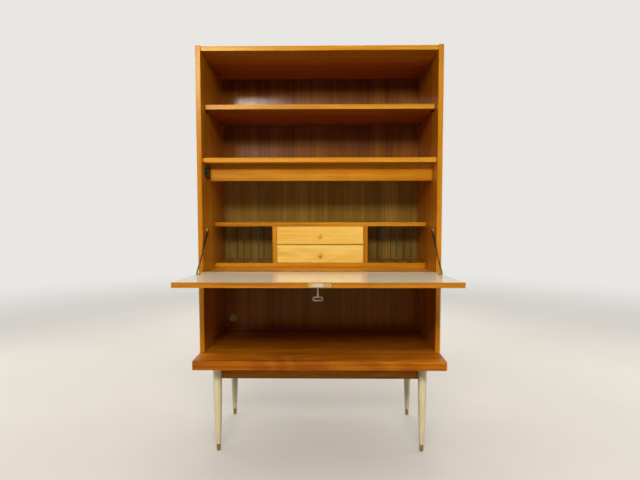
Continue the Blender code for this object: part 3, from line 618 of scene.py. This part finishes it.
def rounding(radius, height, size, start, end, count):
    """Points round a corner whose centre is (radius, height); angles in degrees."""
    angles = [math.radians(start + (end - start) * i / (count - 1)) for i in range(count)]
    return [(radius + size * math.cos(a), height + size * math.sin(a)) for a in angles]


# ---------------------------------------------------------------- legs and knobs
def make_legs():
    """Smooth turned legs and ferrules in the place of the faceted ones."""
    for end in ("front", "rear"):
        for side in ("left", "right"):
            make_leg(f"{end}_{side}")
            make_ferrule(f"{end}_{side}")


def middle_of(low, high):
    return (low.x + high.x) / 2, (low.y + high.y) / 2, 0


def make_leg(place):
    """A leg that tapers ever faster towards its ferrule, with a fine joint between them."""
    low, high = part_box(f"leg_{place}")
    cup_low, cup_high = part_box(f"ferrule_{place}")
    joint, overhang, step_in, step_down = 0.0003, 0.0002, 0.0012, 0.0001
    top_radius = (high.x - low.x) / 2
    foot_radius = (cup_high.x - cup_low.x) / 2 + overhang
    foot_z = cup_high.z + joint
    rim, taper, rows = 0.0015, 2.2, 28
    profile = [(0, high.z)] + rounding(top_radius - rim, high.z - rim, rim, 90, 10, 4)
    for i in range(1, rows + 1):
        share = 1 - i / rows
        radius = foot_radius + (top_radius - foot_radius) * (1 - (1 - share) ** taper)
        profile.append((radius, foot_z + (high.z - rim - foot_z) * share))
    profile += [(foot_radius - step_in, foot_z - step_down), (0, foot_z - step_down)]
    leg = add_piece(f"turned_leg_{place}", turned_mesh("leg", profile), PAINT, "case")
    leg.location = middle_of(low, high)
    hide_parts(f"leg_{place}")


def make_ferrule(place):
    """A brass cup with a bead at its top and a rounded foot."""
    low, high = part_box(f"ferrule_{place}")
    radius, top = (high.x - low.x) / 2, high.z
    bead, neck_in, neck_down = 0.0009, 0.0008, 0.0026
    foot_in, foot_up, foot_rounding = 0.0016, 0.0042, 0.0018
    foot_radius = radius - foot_in
    cup = [(0, top)] + rounding(radius - bead, top - bead, bead, 90, -90, 7)
    cup += [(radius - neck_in, top - neck_down), (foot_radius, foot_up)]
    cup += rounding(foot_radius - foot_rounding, foot_rounding, foot_rounding, 0, -90, 6) + [(0, 0)]
    ferrule = add_piece(f"turned_ferrule_{place}", turned_mesh("ferrule", cup), BRASS, "case")
    ferrule.location = middle_of(*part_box(f"leg_{place}"))
    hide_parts(f"ferrule_{place}")


def make_knobs():
    """Turned knobs with a domed face, a rounded rim and a waisted stem."""
    dome_rise, rim_size, rim_depth = 0.0035, 0.0034, 0.0042
    for seed, level in enumerate(("upper", "lower"), 50):
        low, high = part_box(f"drawer_{level}_knob")
        radius, length = (high.x - low.x) / 2, high.y - low.y
        dome = [(radius * math.sin(a), length - dome_rise * (1 - math.cos(a))) for a in (0, 0.35, 0.7)]
        rim = rounding(radius - rim_size, length - rim_depth, rim_size, 52, -60, 9)
        stem = [(0.0047, length * 0.42), (0.0043, length * 0.28), (0.0050, 0.0016), (0.0062, 0), (0, 0)]
        mesh = turned_mesh("knob", dome + rim + stem)
        place = Matrix.Translation(((low.x + high.x) / 2, high.y, (low.z + high.z) / 2))
        mesh.transform(place @ Matrix.Rotation(math.pi / 2, 4, "X"))
        finish = wood(f"knob_{level}_maple", "y", KNOB_MAPLE, seed, streak=260.0, band=60.0)
        knob = add_piece(f"turned_knob_{level}", mesh, finish, f"{level}_drawer")
        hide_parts(f"drawer_{level}_knob")


# ---------------------------------------------------------------- screws, rivets and nails
# The radii of their heads.
LOCK_SCREW, BRACKET_SCREW, FOOT_SCREW = 0.0040, 0.0019, 0.0028
ELBOW_RIVET, PIVOT_RIVET = 0.0040, 0.0034
NAIL = 0.0022


def screw_mesh(name, radius, height, slot_angle):
    """A raised countersunk screw head with a straight slot, axis along Z, standing on z = 0."""
    dome = ((0, 1), (0.45, 0.96), (0.75, 0.82), (0.93, 0.55), (1, 0.25), (1, 0), (0, 0))
    profile = [(radius * across, height * up) for across, up in dome]
    head = new_object(name, turned_mesh(name, profile, HEAD_SIDES))
    slot_length, slot_width = radius * 2.4, radius * 0.28
    build = bmesh.new()
    size = Matrix.Diagonal((slot_length, slot_width, height, 1))
    turn = Matrix.Rotation(slot_angle, 4, "Z")
    bmesh.ops.create_cube(build, size=1, matrix=turn @ Matrix.Translation((0, 0, height)) @ size)
    cutter = new_object("slot", finished_mesh("slot", build))
    modifier = head.modifiers.new("slot", "BOOLEAN")
    modifier.operation = "DIFFERENCE"
    modifier.object = cutter
    graph = bpy.context.evaluated_depsgraph_get()
    mesh = bpy.data.meshes.new_from_object(head.evaluated_get(graph))
    bpy.data.objects.remove(head)
    bpy.data.objects.remove(cutter)
    return mesh


def add_head(name, mesh, place, normal, body, material):
    """A head whose mesh stands on z = 0, set up at a place on a face that looks along normal."""
    turn = Vector(normal).to_track_quat("Z", "Y").to_matrix().to_4x4()
    mesh.transform(Matrix.Translation(Vector(place) + Vector(normal) * SKIN) @ turn)
    add_piece(name, mesh, material, body)


def add_screw(name, place, normal, body, material, radius, slot_angle, height=None):
    mesh = screw_mesh(name, radius, height or radius * 0.36, slot_angle)
    add_head(name, mesh, place, normal, body, material)


def add_rivet(name, place, normal, body, material, radius):
    """A low domed rivet head standing on a face."""
    height = radius * 0.3
    profile = [(0, height)] + rounding(0, height - radius, radius, 80, 50, 4) + [(radius, 0), (0, 0)]
    add_head(name, turned_mesh(name, profile, HEAD_SIDES), place, normal, body, material)


def flap_point(x, forward, up):
    """A point given in the open flap's own frame: forward from its hinge axis, up from its face."""
    return HINGE + Vector((x, 0, 0)) + FLAP_AWAY * forward + FLAP_UP * up


def make_lock_screws():
    """The two screws of the lock plate, set into the flap's free edge."""
    low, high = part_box("lock_case")
    middle_x, edge = (low.x + high.x) / 2, (HINGE.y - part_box("flap_board")[0].y) / FLAP_UP.z
    from_middle, below_face, sunk, height = 0.031, 0.009, 0.0012, 0.0005
    for number, sign in enumerate((-1, 1), 1):
        place = flap_point(middle_x + sign * from_middle, edge - sunk, -below_face)
        name, turn = f"lock_screw_{number}", 0.3 * number
        add_screw(name, place, FLAP_AWAY, "flap", SCREW_STEEL, LOCK_SCREW, turn, height)


def make_stay_fittings(side, sign):
    """Two screws in the bracket, a rivet at the elbow and one at the pivot, and two screws in the foot."""
    inward = (-sign, 0, 0)
    pivot = Vector(JOINTS[f"stay_upper_{side}_pivot"]["pos_m"])
    foot = Vector(JOINTS[f"stay_lower_{side}_pivot"]["pos_m"])
    lower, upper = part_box(f"stay_lower_{side}"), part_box(f"stay_upper_{side}")
    inner = 1 if sign < 0 else 0  # the corner of a box that is towards the desk's middle

    plate_outward, above_pivot = 0.0022, (0.0102, -0.0086)
    for number, offset in enumerate(above_pivot, 1):
        place = (sign * (abs(pivot.x) + plate_outward), pivot.y, pivot.z + offset)
        name, turn = f"bracket_screw_{side}_{number}", 0.5 * number
        add_screw(name, place, inward, "case", STEEL, BRACKET_SCREW, turn)

    from_end = 0.0045
    elbow = (lower[inner].x, lower[1].y - from_end, lower[1].z - from_end)
    add_rivet(f"elbow_rivet_{side}", elbow, inward, f"lower_link_{side}", BRIGHT_STEEL, ELBOW_RIVET)
    head = (upper[inner].x, pivot.y, pivot.z)
    add_rivet(f"pivot_rivet_{side}", head, inward, f"upper_link_{side}", DARK_STEEL, PIVOT_RIVET)

    plate_inward, plate_top, before_pivot = 0.0085, 0.0021, (-0.0085, 0.0085)
    foot_x, foot_forward = sign * (abs(foot.x) - plate_inward), (HINGE.y - foot.y) / FLAP_UP.z
    for number, offset in enumerate(before_pivot, 1):
        place = flap_point(foot_x, foot_forward + offset, plate_top)
        name, turn = f"foot_screw_{side}_{number}", 0.9 * number
        add_screw(name, place, FLAP_UP, "flap", DARK_STEEL, FOOT_SCREW, turn)


def make_nails():
    """Flat nail heads round the back and along the seams between its panels, as one piece."""
    low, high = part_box("niche_back_panel")
    top_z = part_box("upper_back_panel")[1].z
    inset, seam_inset, pitch, columns, height = 0.012, 0.010, 0.125, 8, 0.0006
    seams = [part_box(name)[0].z + seam_inset for name in ("hatch_back_panel", "upper_back_panel")]
    step = (high.x - low.x - 2 * inset) / columns
    levels = (low.z + inset, *seams, top_z - inset)
    spots = [(low.x + inset + i * step, z) for z in levels for i in range(columns + 1)]
    for i in range(1, int((top_z - low.z) / pitch)):
        spots += [(x, low.z + i * pitch) for x in (low.x + inset, high.x - inset)]
    build = bmesh.new()
    shape = {"radius1": NAIL, "radius2": NAIL * 0.8, "depth": height, "segments": 14}
    for x, z in spots:
        place = Matrix.Translation((x, high.y + height / 2, z)) @ Matrix.Rotation(math.pi / 2, 4, "X")
        bmesh.ops.create_cone(build, cap_ends=True, matrix=place, **shape)
    add_piece("back_nails", finished_mesh("nails", build), STEEL, "case")


def main():
    make_camera()
    make_light()
    make_floor()
    make_shade()
    dress_case()
    dress_fittings()
    make_legs()
    make_knobs()
    make_lock_screws()
    for side, sign in (("left", -1), ("right", 1)):
        make_stay_fittings(side, sign)
    make_nails()


main()
